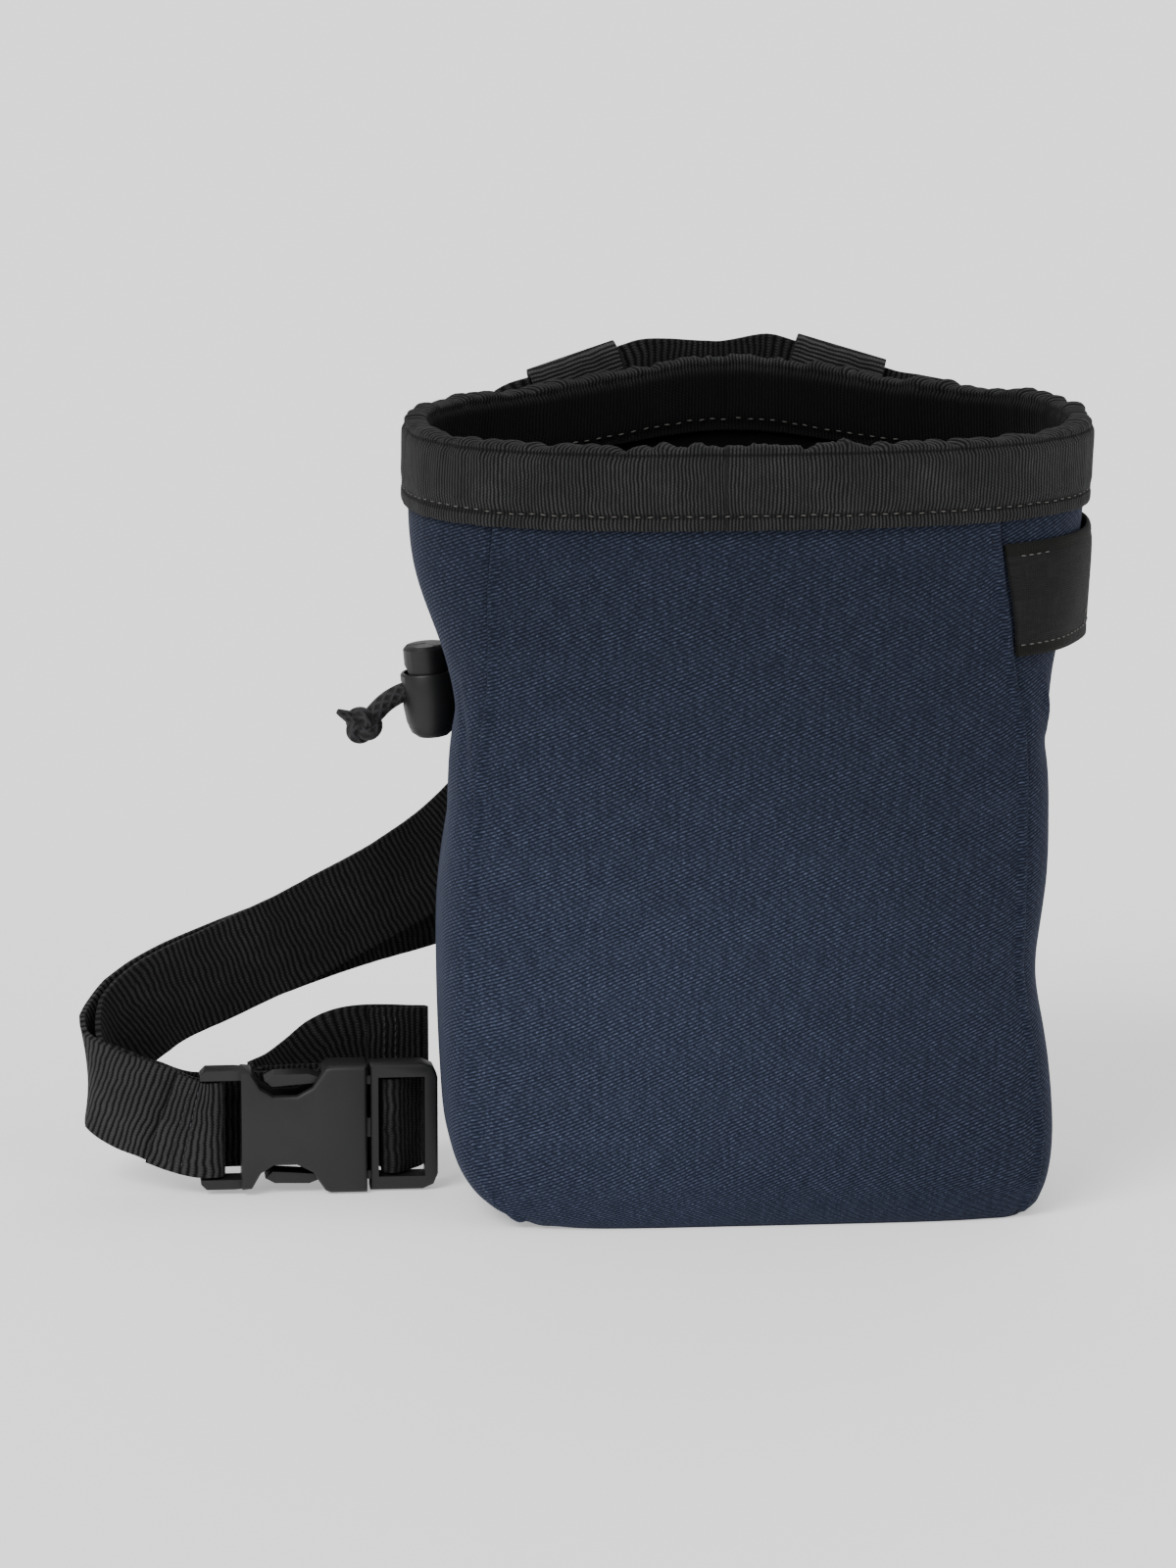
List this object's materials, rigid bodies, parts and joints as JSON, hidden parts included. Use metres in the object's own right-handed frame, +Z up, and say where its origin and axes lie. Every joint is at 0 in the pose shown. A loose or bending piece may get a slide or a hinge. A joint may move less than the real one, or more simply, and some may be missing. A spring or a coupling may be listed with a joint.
{
  "type": "climbing chalk bag with waist belt",
  "caption": "Soft open-topped cloth bag for climbing chalk, with a bound rim, a brush loop, a drawcord lock and a webbing waist belt with a side-release buckle.",
  "frame": {"origin": "middle of the flat bottom that the bag stands on", "axes": "+Z up through the mouth, +Y towards the back with the belt loops, +X towards the brush loop"},
  "size_m": [0.2588, 0.1338, 0.2167],
  "materials": {
    "canvas": "matte woven",
    "webbing": "matte ribbed",
    "loop_cloth": "matte woven",
    "plastic": "satin",
    "cord": "matte braided"
  },
  "bodies": {
    "bag": {"front_panel": "canvas", "back_panel": "canvas", "side_panel_left": "canvas", "side_panel_right": "canvas", "base_panel": "canvas", "rim_band": "webbing", "belt_loop_left": "webbing", "belt_loop_right": "webbing", "waist_belt": "webbing", "brush_loop": "loop_cloth", "buckle_female": "plastic", "buckle_male": "plastic", "cord_lock_barrel": "plastic", "drawcord": "cord", "cord_knot": "cord"},
    "button": {"cord_lock_button": "plastic"}
  },
  "joints": [
    {"name": "lock_press", "type": "slide", "parent": "bag", "child": "button", "axis": [0.0872, 0, -0.9962], "range_m": [0, 0.004], "stiffness_N_per_m": 1500}
  ]
}
